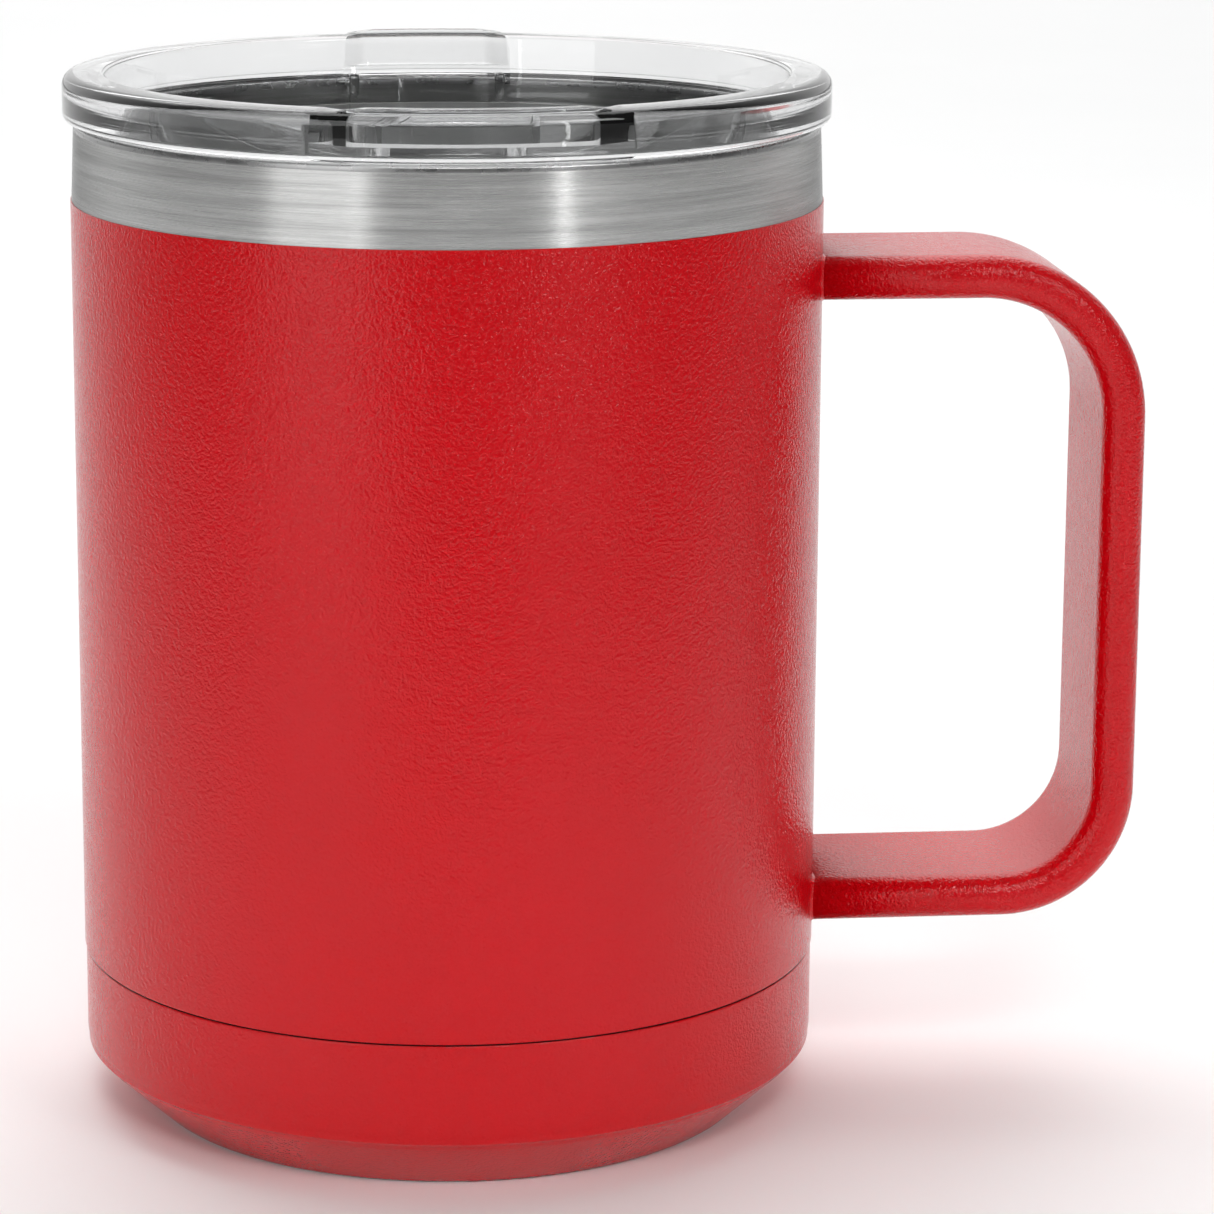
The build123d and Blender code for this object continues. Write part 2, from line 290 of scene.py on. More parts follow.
def brushedBand():
    steel = Finish("brushedBand")
    lines = steel.noise(steel.roundTheCup(3.2, 5200.0), 1.0, 3.0, 0.6)
    hair = steel.noise(steel.roundTheCup(7.0, 14000.0), 1.0, 2.0, 0.6)
    drift = steel.noise(steel.roundTheCup(1.1, 900.0), 1.0, 2.0, 0.5)
    height = lines * 0.6 + hair * 0.4
    tone = steel.span(lines * 0.5 + drift * 0.5, 0.3, 0.7)
    brushed = steel.mix(tone, (0.4, 0.4, 0.395, 1), (0.68, 0.68, 0.675, 1))
    # painted shade: low down, where only the open seam of the coat shows it, the steel is painted near black
    # (below 30 mm, fading to brushed steel by 60 mm) so the seam reads as a shaded groove
    z = steel.axes(steel.place())[2]
    colour = steel.mix(steel.span(z, 30 * mm, 60 * mm), (0.02, 0.004, 0.004, 1), brushed)
    roughness = steel.span(hair * 0.6 + drift * 0.4, 0.3, 0.7, 0.22, 0.32)
    normal = steel.bump(height, 0.006 * mm, 0.6)
    steel.set(Base_Color=colour, Metallic=1.0, Roughness=roughness, Normal=normal,
              Anisotropic=0.8, Anisotropic_Rotation=0.25, Specular_Tint=(0.45, 0.45, 0.45, 1))
    return steel.material


def linerSteel():
    steel = Finish("linerSteel")
    lines = steel.noise(steel.roundTheCup(2.0, 3000.0), 1.0, 3.0, 0.6)
    spots = steel.noise(steel.place(), 90.0, 3.0, 0.6)
    tone = steel.span(lines * 0.6 + spots * 0.4, 0.3, 0.7)
    colour = steel.mix(tone, (0.26, 0.26, 0.255, 1), (0.38, 0.38, 0.375, 1))
    roughness = steel.span(spots, 0.3, 0.7, 0.28, 0.4)
    normal = steel.bump(lines + spots * 0.4, 0.008 * mm, 0.6)
    steel.set(Base_Color=colour, Metallic=1.0, Roughness=roughness, Normal=normal,
              Anisotropic=0.5, Anisotropic_Rotation=0.25)
    return steel.material


def lipSteel():
    steel = Finish("lipSteel")
    lines = steel.noise(steel.roundTheCup(6.0, 9000.0), 1.0, 2.0, 0.5)
    ripples = steel.noise(steel.place(), 420.0, 2.0, 0.5)
    colour = steel.mix(ripples, (0.3, 0.3, 0.3, 1), (0.4, 0.4, 0.4, 1))
    roughness = steel.span(ripples, 0.3, 0.7, 0.22, 0.34)
    normal = steel.bump(lines + ripples, 0.006 * mm, 0.6)
    steel.set(Base_Color=colour, Metallic=1.0, Roughness=roughness, Normal=normal)
    return steel.material


def millSteel(name="millSteel", colourLow=0.46, colourHigh=0.6):
    steel = Finish(name)
    place = steel.place()
    grain = steel.noise(steel.scaled(place, (1.0, 14.0, 1.0)), 260.0, 3.0, 0.6)
    spots = steel.noise(place, 70.0, 3.0, 0.6)
    low = (colourLow, colourLow, colourLow * 0.985, 1)
    high = (colourHigh, colourHigh, colourHigh * 0.985, 1)
    roughness = steel.span(spots, 0.3, 0.7, 0.28, 0.42)
    steel.set(Base_Color=steel.mix(grain, low, high), Metallic=1.0, Roughness=roughness)
    steel.set(Normal=steel.bump(grain + spots, 0.008 * mm, 0.5))
    return steel.material


def spunSteel():
    # rings about the centre, as left by a spinning polishing wheel
    steel = Finish("spunSteel")
    x, y = steel.axes(steel.place())[:2]
    away = (x * x + y * y) ** 0.5
    rings = steel.noise(steel.vector(away * 5200.0, x * 22.0, y * 22.0), 1.0, 3.0, 0.6)
    spots = steel.noise(steel.place(), 60.0, 3.0, 0.5)
    tone = steel.span(rings * 0.7 + spots * 0.3, 0.3, 0.7)
    colour = steel.mix(tone, (0.5, 0.5, 0.495, 1), (0.64, 0.64, 0.635, 1))
    roughness = steel.span(rings, 0.3, 0.7, 0.22, 0.34)
    normal = steel.bump(rings, 0.006 * mm, 0.7)
    steel.set(Base_Color=colour, Metallic=1.0, Roughness=roughness, Normal=normal)
    return steel.material


def copperSheet():
    copper = Finish("copperSheet")
    place = copper.place()
    creases = copper.cells(place, 90.0)
    stains = copper.noise(place, 45.0, 3.0, 0.6)
    colour = copper.mix(stains, (0.62, 0.26, 0.13, 1), (0.8, 0.42, 0.25, 1))
    roughness = copper.span(stains, 0.3, 0.7, 0.2, 0.38)
    normal = copper.bump(creases, 0.05 * mm, 0.6)
    copper.set(Base_Color=colour, Metallic=1.0, Roughness=roughness, Normal=normal)
    return copper.material


def pressedPowder():
    powder = Finish("pressedPowder")
    grains = powder.cells(powder.place(), 3200.0)
    colour = powder.mix(grains, (0.05, 0.05, 0.052, 1), (0.16, 0.16, 0.165, 1))
    powder.set(Base_Color=colour, Metallic=0.6, Roughness=powder.span(grains, 0.0, 1.0, 0.6, 0.85))
    powder.set(Normal=powder.bump(grains, 0.06 * mm, 0.8))
    return powder.material


def dullSolder():
    solder = Finish("dullSolder")
    flow = solder.noise(solder.place(), 800.0, 3.0, 0.6, 0.8)
    colour = solder.mix(flow, (0.4, 0.4, 0.4, 1), (0.6, 0.6, 0.59, 1))
    solder.set(Base_Color=colour, Metallic=1.0, Roughness=solder.span(flow, 0.3, 0.7, 0.3, 0.5))
    solder.set(Normal=solder.bump(flow, 0.05 * mm, 0.7))
    return solder.material


def clearPlastic():
    # moulded copolyester: faint flow waves, a few fine handling scratches in the gloss
    clear = Finish("clearPlastic")
    place = clear.place()
    flow = clear.noise(place, 42.0, 2.0, 0.5, 0.6)
    streaks = clear.noise(clear.scaled(place, (1.0, 9.0, 1.0)), 520.0, 2.0, 0.5)
    scuffs = clear.span(streaks, 0.62, 0.74)
    tint = clear.mix(flow, (0.8, 0.805, 0.81, 1), (0.88, 0.885, 0.885, 1))
    roughness = clear.span(scuffs * 0.6 + flow * 0.4, 0.2, 1.0, 0.012, 0.05)
    normal = clear.bump(flow + scuffs * 0.08, 0.05 * mm, 0.5)
    clear.set(Base_Color=tint, Roughness=roughness, Normal=normal, IOR=1.54, Transmission_Weight=1.0)
    return clear.material


def milkySilicone():
    silicone = Finish("milkySilicone")
    place = silicone.place()
    mottle = silicone.noise(place, 300.0, 3.0, 0.5)
    dust = silicone.noise(place, 1800.0, 2.0, 0.6)
    colour = silicone.mix(mottle, (0.66, 0.66, 0.65, 1), (0.78, 0.78, 0.77, 1))
    roughness = silicone.span(dust, 0.3, 0.7, 0.38, 0.55)
    normal = silicone.bump(dust, 0.01 * mm, 0.5)
    silicone.set(Base_Color=colour, Roughness=roughness, Normal=normal, IOR=1.43)
    silicone.set(Subsurface_Weight=0.25, Subsurface_Radius=(0.001, 0.001, 0.001))
    return silicone.material


finishes = {
    "coat": redPowderCoat(),
    "band": brushedBand(),
    "liner": linerSteel(),
    "lip": lipSteel(),
    "mill": millSteel(),
    "clip": millSteel("clipSteel", 0.4, 0.55),
    "spun": spunSteel(),
    "copper": copperSheet(),
    "powder": pressedPowder(),
    "solder": dullSolder(),
    "clear": clearPlastic(),
    "silicone": milkySilicone(),
}
print("finishes mixed,", len(finishes))


# the cup
cup = {
    "coatRadius": 43.0,
    "coat": 0.12,
    "wall": 0.6,
    "seam": 18.65,
    "coatTop": 106.4,
    "steelTop": 114.5,
    "lipTop": 115.4,
    "taper": 0.35,
    "filmClearance": 0.004,
}
steelRadius = cup["coatRadius"] - cup["coat"]
topRadius = steelRadius - cup["taper"] * (cup["steelTop"] - cup["coatTop"]) / (cup["lipTop"] - cup["coatTop"])


def makeShell():
    outline = [
        (steelRadius - cup["wall"], cup["seam"]),
        (steelRadius, cup["seam"]),
        (steelRadius, cup["coatTop"]),
        (topRadius, cup["steelTop"]),
        (topRadius - cup["wall"], cup["steelTop"]),
        (steelRadius - cup["wall"], cup["coatTop"]),
    ]
    shell = turnPiece("outerShell", outline)
    return fit(shell, "mug", "brushed_steel", finishes["band"], "outer_shell")


def makeCoatBody():
    # the lower edge is rounded in, so that an open seam shows above the base
    film = {"edgeRound": 0.05, "edgeSteps": 3, "seamDepth": 0.11, "seamHeight": 0.3, "gap": 0.15}
    inner = steelRadius + cup["filmClearance"]
    low = cup["seam"] + film["gap"]
    outline = [(inner, low), (cup["coatRadius"] - film["seamDepth"], low)]
    for turn in (30, 60, 90):
        angle = math.radians(turn)
        away = cup["coatRadius"] - film["seamDepth"] * (1 - math.sin(angle))
        outline.append((away, low + film["seamHeight"] * (1 - math.cos(angle))))
    outline.append((cup["coatRadius"], cup["coatTop"]))
    outline.append((inner, cup["coatTop"]))
    rounds = [(cup["coatRadius"], cup["coatTop"], film["edgeRound"], film["edgeSteps"])]
    coat = turnPiece("coatBody", outline, rounds)
    return fit(coat, "mug", "powder_coat", finishes["coat"], "coat_body")


def bevelOffset(radius, turnAngle):
    return radius * math.tan(turnAngle / 2)


base = {
    "step": 0.15,
    "slopeHeight": 7.15,
    "slopeRound": 3.4,
    "footRadius": 35.1,
    "footRound": 1.0,
    "footLift": 0.05,
    "footTurnIn": 1.2,
    "seamHeight": 0.3,
    "seamGap": 0.05,
}
slopeAngle = math.atan2(steelRadius - base["step"] - base["footRadius"], base["slopeHeight"])


def makeCoatBase():
    outer = cup["coatRadius"] - base["step"]
    top = cup["seam"] - base["seamGap"]
    foot = base["footRadius"] + cup["coat"] * 0.6
    footIn = foot - base["footTurnIn"]
    footTop = base["footLift"] + cup["coat"]
    inner = outer - cup["coat"]
    outline = [(inner, top)]
    for turn in (15, 45, 70, 90):
        angle = math.radians(turn)
        start = inner + cup["filmClearance"]
        away = start + (outer - start) * math.sin(angle)
        outline.append((away, top - base["seamHeight"] * (1 - math.cos(angle))))
    outline += [
        (outer, base["slopeHeight"]),
        (foot, base["footLift"]),
        (footIn, base["footLift"]),
        (footIn, footTop),
        (foot - 0.05, footTop),
        (outer - cup["coat"], base["slopeHeight"] + 0.03),
    ]
    rounds = [
        (outer, base["slopeHeight"], bevelOffset(base["slopeRound"], slopeAngle), 10),
        (foot, base["footLift"], bevelOffset(base["footRound"], math.pi / 2 - slopeAngle), 6),
    ]
    coat = turnPiece("coatBase", outline, rounds)
    return fit(coat, "mug", "powder_coat", finishes["coat"], "coat_base")


def makeLiner():
    liner = {"radius": 39.2, "wall": 0.5, "mouth": 41.2, "low": 104.6, "high": 106.4, "weld": 16.5}
    outline = [
        (liner["radius"], liner["weld"]),
        (liner["radius"] + liner["wall"], liner["weld"]),
        (liner["radius"] + liner["wall"], liner["low"]),
        (liner["mouth"] + liner["wall"], liner["high"]),
        (liner["mouth"] + liner["wall"], cup["steelTop"]),
        (liner["mouth"], cup["steelTop"]),
        (liner["mouth"], liner["high"]),
        (liner["radius"], liner["low"]),
    ]
    rounds = [(liner["mouth"], liner["high"], 0.8, 5), (liner["radius"], liner["low"], 0.8, 5)]
    tube = turnPiece("innerLiner", outline, rounds)
    return fit(tube, "mug", "liner_steel", finishes["liner"], "inner_liner")


def makeLinerBottom():
    pan = {"radius": 39.2, "wall": 0.5, "floor": 9.0, "corner": 6.0, "weld": 16.5, "middle": 4.0}
    inner, outer = pan["radius"], pan["radius"] + pan["wall"]
    outline = [
        (pan["middle"], pan["floor"]),
        (inner, pan["floor"]),
        (inner, pan["weld"]),
        (outer, pan["weld"]),
        (outer, pan["floor"] - pan["wall"]),
        (pan["middle"], pan["floor"] - pan["wall"]),
    ]
    rounds = [
        (inner, pan["floor"], pan["corner"], 10),
        (outer, pan["floor"] - pan["wall"], pan["corner"] + pan["wall"], 10),
    ]
    bottom = turnPiece("linerBottom", outline, rounds, segments=192, ends="caps")
    return fit(bottom, "mug", "liner_steel", finishes["liner"], "liner_bottom")


def makeRimWeld():
    lip = {"mouth": 41.2, "crown": 0.5, "steps": 14}
    middle = (lip["mouth"] + topRadius) / 2
    half = (topRadius - lip["mouth"]) / 2
    crownRadius = (half**2 + lip["crown"]**2) / (2 * lip["crown"])
    reach = math.asin(half / crownRadius)
    outline = [(lip["mouth"], cup["steelTop"]), (topRadius, cup["steelTop"])]
    for step in range(lip["steps"] + 1):
        angle = reach * (1 - 2 * step / lip["steps"])
        height = cup["lipTop"] - crownRadius * (1 - math.cos(angle))
        outline.append((middle + crownRadius * math.sin(angle), height))
    lipPiece = turnPiece("rimWeld", outline)
    return fit(lipPiece, "mug", "lip_steel", finishes["lip"], "rim_weld")


makeShell()
makeCoatBody()
makeCoatBase()
makeLiner()
makeLinerBottom()
makeRimWeld()
print("cup turned")


# the handle, a strap drawn along its middle line
strap = {
    "width": 22.3,
    "thickness": 4.8,
    "edge": 2.35,
    "top": 97.7,
    "bottom": 24.1,
    "reach": 77.5,
    "topBend": 16.7,
    "bottomBend": 13.0,
    "bendSteps": 28,
    "weld": 0.4,
}


def strapOutline(name, grow, start, height):
    # the strap's cross-section as a loop of edges, standing across X
    letGo()
    bpy.ops.mesh.primitive_plane_add(size=1, location=(0, 0, 0), rotation=(0, math.radians(90), 0))
    piece = rename(bpy.context.object, name)
    bpy.ops.object.transform_apply(location=True, rotation=True, scale=True)
    openMesh(piece, "VERT")
    bpy.ops.mesh.select_all(action="SELECT")
    width = (strap["width"] + 2 * grow) * mm
    thickness = (strap["thickness"] + 2 * grow) * mm
    bpy.ops.transform.resize(value=(1, width, thickness), center_override=(0, 0, 0))
    bpy.ops.transform.translate(value=(start * mm, 0, height * mm))
    bpy.ops.mesh.bevel(offset=(strap["edge"] + grow) * mm, segments=12, profile=0.5, affect="VERTICES")
    bpy.ops.mesh.select_mode(type="FACE")
    bpy.ops.mesh.select_all(action="SELECT")
    bpy.ops.mesh.delete(type="ONLY_FACE")
    bpy.ops.mesh.select_mode(type="EDGE")
    bpy.ops.mesh.select_all(action="SELECT")
    return piece


def sinkOntoCup(piece, radius, fromX, toX):
    # ends between these X values follow the round of the cup
    shape = bmesh.from_edit_mesh(piece.data)
    for vert in shape.verts:
        if fromX * mm <= vert.co.x <= toX * mm:
            vert.co.x += math.sqrt((radius * mm) ** 2 - vert.co.y ** 2) - radius * mm
    bmesh.update_edit_mesh(piece.data)


def slide(x, z):
    bpy.ops.mesh.extrude_region_move(TRANSFORM_OT_translate={"value": (x * mm, 0, z * mm)})


def swing(x, z):
    centre = (x * mm, 0, z * mm)
    bpy.ops.mesh.spin(steps=strap["bendSteps"], angle=math.radians(-90), center=centre, axis=(0, 1, 0))


def drawStrap(start):
    topLength = strap["reach"] - strap["topBend"] - start
    fall = strap["top"] - strap["bottom"] - strap["topBend"] - strap["bottomBend"]
    bottomLength = strap["reach"] - strap["bottomBend"] - start
    slide(topLength, 0)
    swing(strap["reach"] - strap["topBend"], strap["top"] - strap["topBend"])
    slide(0, -fall)
    swing(strap["reach"] - strap["bottomBend"], strap["bottom"] + strap["bottomBend"])
    slide(-bottomLength, 0)


def makeHandleCoat():
    start = cup["coatRadius"] + strap["weld"] * 0.6
    coat = strapOutline("coatHandle", cup["coat"], start, strap["top"])
    drawStrap(start)
    sinkOntoCup(coat, cup["coatRadius"], start - 0.01, start + 0.01)
    closeMesh(coat, 40)
    useModifier(coat, "SOLIDIFY", thickness=cup["coat"] * 0.9 * mm, offset=-1.0)
    return fit(coat, "mug", "powder_coat", finishes["coat"], "coat_handle")


def makeHandleWeld(name, node, height):
    # a concave bead that spreads from the strap on to the wall
    bead = {"steps": 8, "spread": 0.35, "rise": 0.38, "skin": 0.08}
    weld = strapOutline(name, cup["coat"], cup["coatRadius"] + bead["rise"], height)
    grown = cup["coat"]
    quarter = math.radians(90) / bead["steps"]
    for step in range(1, bead["steps"] + 1):
        angle = quarter * step
        grow = cup["coat"] + bead["spread"] * (1 - math.cos(angle))
        drop = bead["rise"] * (math.sin(angle) - math.sin(angle - quarter))
        slide(-drop, 0)
        wider = (strap["width"] + 2 * grow) / (strap["width"] + 2 * grown)
        thicker = (strap["thickness"] + 2 * grow) / (strap["thickness"] + 2 * grown)
        bpy.ops.transform.resize(value=(1, wider, thicker), center_override=(0, 0, height * mm))
        grown = grow
    sinkOntoCup(weld, cup["coatRadius"], cup["coatRadius"] - 1, cup["coatRadius"] + bead["rise"] + 0.1)
    closeMesh(weld, 60)
    useModifier(weld, "SOLIDIFY", thickness=bead["skin"] * mm, offset=-1.0)
    return fit(weld, "mug", "powder_coat", finishes["coat"], node)


makeHandleCoat()
makeHandleWeld("handleWeldTop", "handle_weld_top", strap["top"])
makeHandleWeld("handleWeldBottom", "handle_weld_bottom", strap["bottom"])
print("handle drawn")


# the clear lid
lid = {
    "radius": 43.75,
    "bottom": 115.5,
    "top": 120.8,
    "topRound": 1.4,
    "bottomRound": 0.9,
    "rimInner": 38.9,
    "rimRound": 0.5,
    "plug": 39.9,
    "plugBottom": 107.0,
    "floorTop": 108.8,
    "floorRadius": 37.7,
    "grooveBottom": 109.4,
    "grooveTop": 112.6,
    "grooveDepth": 1.0,
    "bayFloor": 117.1,
    "bayRadius": 42.0,
    "bayCorner": 0.9,
    "frontBay": (16.2, 12.9),
    "backBay": (9.8, 7.7),
    "raise": 0.45,
    "frontRaise": 14.5,
    "backRaise": 9.5,
    "raiseOuter": 43.0,
    "rampAngle": 8.0,
    "ribAt": 8.9,
    "ribWidth": 1.2,
    "ribInner": 36.4,
    "ribOuter": 38.2,
    "ribTop": 116.4,
}
floorTop = lid["floorTop"]
opening = {"width": 13.6, "depth": 6.4, "centre": -32.4, "corner": 2.5, "airHole": 1.0, "airCentre": 31.0}
rails = {
    "inner": 7.6,
    "outer": 9.0,
    "front": -30.0,
    "back": 22.0,
    "top": floorTop + 1.8,
    "lipBottom": floorTop + 1.35,
    "lipInner": 6.7,
}


def cutStrip(piece, half, side):
    # keeps one side of a turned lip and lets its ends run out in slopes at -half and half
    lean = math.radians(lid["rampAngle"])
    across, rise = math.sin(lean), math.cos(lean)
    cuts = [
        ((half, 0, lid["top"]), (across, 0, rise)),
        ((-half, 0, lid["top"]), (-across, 0, rise)),
        ((half, 0, 0), (1, 0, 0)),
        ((-half, 0, 0), (-1, 0, 0)),
        ((0, 0, 0), (0, -side, 0)),
    ]
    for place, facing in cuts:
        openMesh(piece)
        bpy.ops.mesh.select_all(action="SELECT")
        at = [value * mm for value in place]
        bpy.ops.mesh.bisect(plane_co=at, plane_no=facing, use_fill=True, clear_outer=True)
        bpy.ops.object.mode_set(mode="OBJECT")


def makeBayTool(halves, side):
    # a block that narrows towards the outside, rounded at its upright edges and cut to the bay's radius
    innerHalf, outerHalf = halves
    inner = math.sqrt(lid["rimInner"] ** 2 - innerHalf**2)
    outer = math.sqrt(lid["bayRadius"] ** 2 - outerHalf**2)
    slope = (innerHalf - outerHalf) / (outer - inner)
    near, far = inner - 1.5, outer + 1.5
    low, high = lid["bayFloor"], lid["top"] + 3
    front, back = sorted((side * near, side * far))
    block = barPiece("bayBlock", (-1, front, low), (1, back, high))
    openMesh(block, "VERT")
    for place, half in ((near, innerHalf + 1.5 * slope), (far, outerHalf - 1.5 * slope)):
        pick(block, "verts", lambda vert: abs(abs(vert.co.y) - place * mm) < 0.01 * mm)
        bpy.ops.transform.resize(value=(half, 1, 1), center_override=(0, 0, 0))
    bpy.ops.object.mode_set(mode="OBJECT")
    cut = turnPiece("bayRound", [(lid["bayRadius"], low), (lid["bayRadius"], high)], ends="caps")
    carve(block, cut, "INTERSECT")
    openMesh(block)
    pick(block, "edges", lambda edge: abs(edge.verts[0].co.z - edge.verts[1].co.z) > 3 * mm
         and min(math.hypot(vert.co.x, vert.co.y) for vert in edge.verts) > (lid["bayRadius"] - 0.05) * mm
         and min(abs(vert.co.x) for vert in edge.verts) > (outerHalf - 0.05) * mm)
    bpy.ops.mesh.bevel(offset=lid["bayCorner"] * mm, segments=5, profile=0.5, affect="EDGES")
    bpy.ops.object.mode_set(mode="OBJECT")
    return block


def makeLid():
    grooveRadius = lid["plug"] - lid["grooveDepth"]
    outline = [
        (lid["floorRadius"], floorTop),
        (lid["rimInner"], lid["top"]),
        (lid["radius"], lid["top"]),
        (lid["radius"], lid["bottom"]),
        (lid["plug"], lid["bottom"]),
        (lid["plug"], lid["grooveTop"]),
        (grooveRadius, lid["grooveTop"]),
        (grooveRadius, lid["grooveBottom"]),
        (lid["plug"], lid["grooveBottom"]),
        (lid["plug"], lid["plugBottom"]),
    ]
    rounds = [
        (lid["radius"], lid["top"], lid["topRound"], 8),
        (lid["radius"], lid["bottom"], lid["bottomRound"], 8),
        (lid["rimInner"], lid["top"], lid["rimRound"], 5),
        (lid["floorRadius"], floorTop, 0.7, 5),
        (lid["plug"], lid["plugBottom"], 0.5, 4),
    ]
    body = turnPiece("lidBody", outline, rounds, ends="caps")

    raisedTop = lid["top"] + lid["raise"]
    raisedOutline = [
        (lid["bayRadius"], lid["top"] - 1.0),
        (lid["raiseOuter"] - 0.2, lid["top"] - 1.0),
        (lid["raiseOuter"], raisedTop),
        (lid["bayRadius"], raisedTop),
    ]
    for half, side in ((lid["frontRaise"], -1), (lid["backRaise"], 1)):
        raised = turnPiece("raisedLip", raisedOutline, [(lid["raiseOuter"], raisedTop, 0.4, 4)])
        cutStrip(raised, half, side)
        carve(body, raised, "UNION")
    carve(body, makeBayTool(lid["frontBay"], -1))
    carve(body, makeBayTool(lid["backBay"], 1))

    for side in (-1, 1):
        low, high = sorted((side * rails["inner"], side * rails["outer"]))
        start, end = (low, rails["front"], floorTop - 0.3), (high, rails["back"], rails["top"])
        carve(body, barPiece("rail", start, end, 0.3, 3, 0.2, 2), "UNION")
        low, high = sorted((side * rails["lipInner"], side * (rails["inner"] + 0.3)))
        start = (low, rails["front"] + 0.2, rails["lipBottom"])
        end = (high, rails["back"] - 0.2, rails["top"] - 0.05)
        carve(body, barPiece("railLip", start, end), "UNION")
        low, high = side * lid["ribAt"] - lid["ribWidth"] / 2, side * lid["ribAt"] + lid["ribWidth"] / 2
        deep = math.sqrt(lid["ribInner"] ** 2 - lid["ribAt"] ** 2)
        reach = math.sqrt(lid["ribOuter"] ** 2 - lid["ribAt"] ** 2)
        start, end = (low, deep, floorTop - 0.3), (high, reach, lid["ribTop"])
        carve(body, barPiece("rib", start, end, 0.3, 3, 0.3, 3), "UNION")

    half = opening["width"] / 2
    start = (-half, opening["centre"] - opening["depth"] / 2, lid["plugBottom"] - 1)
    end = (half, opening["centre"] + opening["depth"] / 2, floorTop + 1)
    carve(body, barPiece("slot", start, end, opening["corner"], 10))
    letGo()
    place = (0, opening["airCentre"] * mm, lid["plugBottom"] * mm)
    radius = opening["airHole"] * mm
    bpy.ops.mesh.primitive_cylinder_add(vertices=48, radius=radius, depth=6 * mm, location=place)
    carve(body, rename(bpy.context.object, "airHole"))
    openMesh(body)
    closeMesh(body, 32)
    return fit(body, "lid", "clear_plastic", finishes["clear"], "lid_body")


def makeSlider():
    low = floorTop + 0.45
    size = {"flange": 7.4, "body": 6.4, "front": -36.6, "back": -6.0, "bottom": low}
    size.update({"flangeTop": low + 0.75, "top": low + 1.25})
    tab = {"half": 5.0, "back": -33.0, "top": low + 3.0}
    ridges = {"half": 4.0, "width": 0.7, "height": 0.3, "pitch": 1.8, "count": 3, "centre": -12.0}
    plateLow = (-size["flange"], size["front"], size["bottom"])
    plate = barPiece("sliderPlate", plateLow, (size["flange"], size["back"], size["flangeTop"]), 3.0, 8)
    barLow = (-size["body"], size["front"], size["bottom"])
    bar = barPiece("sliderBar", barLow, (size["body"], size["back"], size["top"]), 3.0, 8, 0.2, 3)
    carve(plate, bar, "UNION")
    tabLow = (-tab["half"], size["front"] + 0.4, size["flangeTop"])
    thumb = barPiece("sliderTab", tabLow, (tab["half"], tab["back"], tab["top"]), 0.8, 5, 0.35, 4)
    carve(plate, thumb, "UNION")
    for step in range(ridges["count"]):
        middle = ridges["centre"] + (step - (ridges["count"] - 1) / 2) * ridges["pitch"]
        low = (-ridges["half"], middle - ridges["width"] / 2, size["top"] - 0.2)
        high = (ridges["half"], middle + ridges["width"] / 2, size["top"] + ridges["height"])
        carve(plate, barPiece("gripRidge", low, high, 0.3, 4, 0.14, 3), "UNION")
    openMesh(plate)
    closeMesh(plate, 32)
    return fit(plate, "slider", "slider_plastic", finishes["clear"], "slider")


def makeSliderSeal():
    pad = {"half": 7.0, "front": -36.4, "back": -28.4, "bottom": floorTop + 0.05, "top": floorTop + 0.45}
    low = (-pad["half"], pad["front"], pad["bottom"])
    high = (pad["half"], pad["back"], pad["top"])
    seal = barPiece("sliderSeal", low, high, 2.6, 8, 0.12, 2)
    return fit(seal, "slider", "silicone", finishes["silicone"], "slider_seal")


def makeGasket():
    ring = {"inner": 38.95, "outer": 39.8, "fin": 41.0, "bottom": 109.45, "top": 112.55}
    ring.update({"droop": 0.5, "finTip": 0.3, "finRound": 0.12, "finRoot": 0.7})
    middle = (ring["bottom"] + ring["top"]) / 2
    outline = [(ring["inner"], ring["bottom"])]
    for start in (ring["bottom"], middle):
        outline.append((ring["outer"], start))
        outline.append((ring["fin"], start + ring["droop"]))
        outline.append((ring["fin"], start + ring["droop"] + ring["finTip"]))
        outline.append((ring["outer"], start + ring["finRoot"]))
    outline.append((ring["outer"], ring["top"]))
    outline.append((ring["inner"], ring["top"]))
    rounds = []
    for start in (ring["bottom"], middle):
        rounds.append((ring["fin"], start + ring["droop"], ring["finRound"], 3))
        rounds.append((ring["fin"], start + ring["droop"] + ring["finTip"], ring["finRound"], 3))
    gasket = turnPiece("lidGasket", outline, rounds, segments=192)
    return fit(gasket, "gasket", "silicone", finishes["silicone"], "lid_gasket")


makeLid()
makeSlider()
makeSliderSeal()
makeGasket()
print("lid moulded")


# pieces kept as they are in the frame get their finishes
kept = {
    "base_cup": "mill",
    "bottom_cover": "spun",
    "seal_bead": "solder",
    "copper_foil": "copper",
    "getter_pellet": "powder",
    "getter_clip": "clip",
    "handle_outer_half": "mill",
    "handle_inner_half": "mill",
}
for node, finish in kept.items():
    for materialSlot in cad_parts[node].material_slots:
        materialSlot.material = finishes[finish]
print("kept nodes finished,", len(kept))


# floor, light and camera
def makeFloor():
    floorFinish = Finish("paleFloor")
    mottle = floorFinish.noise(floorFinish.place(), 6.0, 4.0, 0.6)
    fine = floorFinish.noise(floorFinish.place(), 300.0, 2.0, 0.5)
    colour = floorFinish.mix(mottle, (0.93, 0.93, 0.93, 1), (0.96, 0.96, 0.96, 1))
    normal = floorFinish.bump(fine, 0.02 * mm, 0.3)
    floorFinish.set(Base_Color=colour, Roughness=0.85, Normal=normal)
    letGo()
    bpy.ops.mesh.primitive_circle_add(vertices=96, radius=9.0, fill_type="NGON", location=(0, 0, 0))
    floor = rename(bpy.context.object, "paleFloor")
    floor.data.materials.append(floorFinish.material)


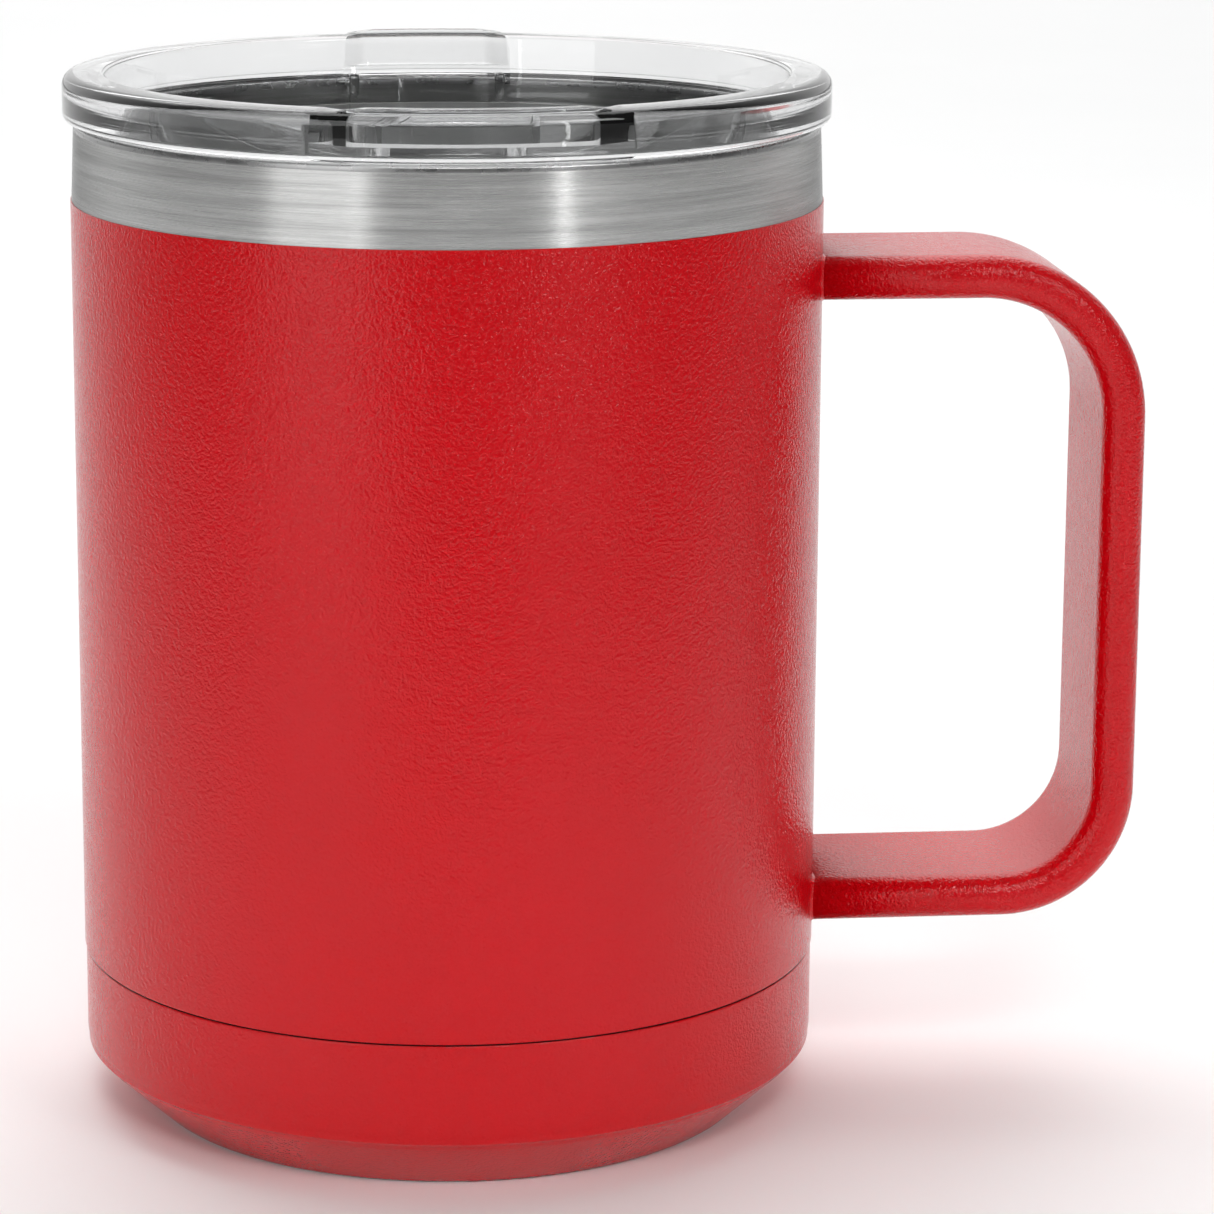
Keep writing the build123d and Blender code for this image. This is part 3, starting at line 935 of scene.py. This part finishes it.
def makeLamp(name, place, aim, width, height, watts, spread):
    letGo()
    bpy.ops.object.light_add(type="AREA", location=place)
    lamp = bpy.context.object
    lamp.name = name
    lamp.data.shape = "RECTANGLE"
    lamp.data.size = width
    lamp.data.size_y = height
    lamp.data.energy = watts
    lamp.data.spread = math.radians(spread)
    lamp.rotation_euler = (Vector(aim) - Vector(place)).to_track_quat("-Z", "Y").to_euler()


cupMiddle = (0.0, 0.0, 0.06)
# name, place, aim, width, height, watts and spread in degrees
lamps = [
    ("keyLeft", (-0.67, -0.74, 0.42), cupMiddle, 0.6, 0.7, 2.3, 180),
    ("stripLeft", (-0.5, -0.86, 0.26), cupMiddle, 0.02, 0.62, 0.1, 180),
    ("stripRight", (0.5, -0.86, 0.26), cupMiddle, 0.025, 0.62, 0.4, 180),
    ("overhead", (0.0, 0.3, 0.95), (0.0, 0.3, 0.0), 0.9, 0.7, 1.7, 110),
    ("backdrop", (0.0, 1.7, 1.4), (0.0, 1.4, 0.0), 2.4, 1.6, 13.0, 130),
    ("frontFill", (0.95, -1.2, 1.0), cupMiddle, 0.7, 0.5, 0.7, 60),
    ("floorWash", (0.0, -0.95, 0.7), (0.0, -0.22, 0.0), 1.3, 0.3, 0.5, 24),
]
studio = {"front": 0.14, "side": 0.15, "back": 1.05}


def makeStudio():
    # the room is dark at the front and the sides, and pale behind the cup
    world = bpy.data.worlds.new("softRoom")
    bpy.context.scene.world = world
    world.use_nodes = True
    tree = world.node_tree
    where = tree.nodes.new("ShaderNodeTexCoord")
    split = tree.nodes.new("ShaderNodeSeparateXYZ")
    tree.links.new(where.outputs["Generated"], split.inputs[0])
    ramp = tree.nodes.new("ShaderNodeValToRGB")
    ramp.color_ramp.interpolation = "EASE"
    level = tree.nodes.new("ShaderNodeMapRange")
    level.inputs["From Min"].default_value = -1.0
    level.inputs["From Max"].default_value = 1.0
    tree.links.new(split.outputs["Y"], level.inputs["Value"])
    tree.links.new(level.outputs[0], ramp.inputs["Fac"])
    stops = ramp.color_ramp.elements
    stops[0].position, stops[0].color = 0.12, [studio["front"]] * 3 + [1]
    stops[1].position, stops[1].color = 0.9, [studio["back"]] * 3 + [1]
    side = stops.new(0.5)
    side.color = [studio["side"]] * 3 + [1]
    sky = tree.nodes["Background"]
    tree.links.new(ramp.outputs["Color"], sky.inputs["Color"])
    sky.inputs["Strength"].default_value = 1.0
    for lamp in lamps:
        makeLamp(*lamp)


def makeCamera():
    view = {
        "distance": 495.4,
        "height": 174.2,
        "handleTurn": 4.0,
        "heading": 5.33,
        "pitch": 12.42,
        "roll": 0.193,
        "lens": 128.99,
        "shiftX": 0.0494,
        "shiftY": -0.0494,
    }
    turn, heading = math.radians(view["handleTurn"]), math.radians(view["heading"])
    pitch, roll = math.radians(view["pitch"]), math.radians(view["roll"])
    ahead = Vector((math.sin(heading), math.cos(heading), 0))
    right = Vector((math.cos(heading), -math.sin(heading), 0))
    up = Vector((0, 0, 1))
    forward = ahead * math.cos(pitch) - up * math.sin(pitch)
    lifted = up * math.cos(pitch) + ahead * math.sin(pitch)
    acrossView = right * math.cos(roll) + lifted * math.sin(roll)
    upView = lifted * math.cos(roll) - right * math.sin(roll)
    letGo()
    bpy.ops.object.camera_add()
    camera = bpy.context.object
    camera.name = "camera"
    away = view["distance"] * mm
    camera.location = (-away * math.sin(turn), -away * math.cos(turn), view["height"] * mm)
    camera.rotation_euler = Matrix((acrossView, upView, -forward)).transposed().to_euler()
    camera.data.lens = view["lens"]
    camera.data.sensor_width = 36
    camera.data.shift_x = view["shiftX"]
    camera.data.shift_y = view["shiftY"]
    camera.data.clip_start = 0.01
    camera.data.clip_end = 50
    bpy.context.scene.camera = camera


makeFloor()
makeStudio()
makeCamera()
bpy.context.scene.view_settings.view_transform = "Standard"
print("studio lit")
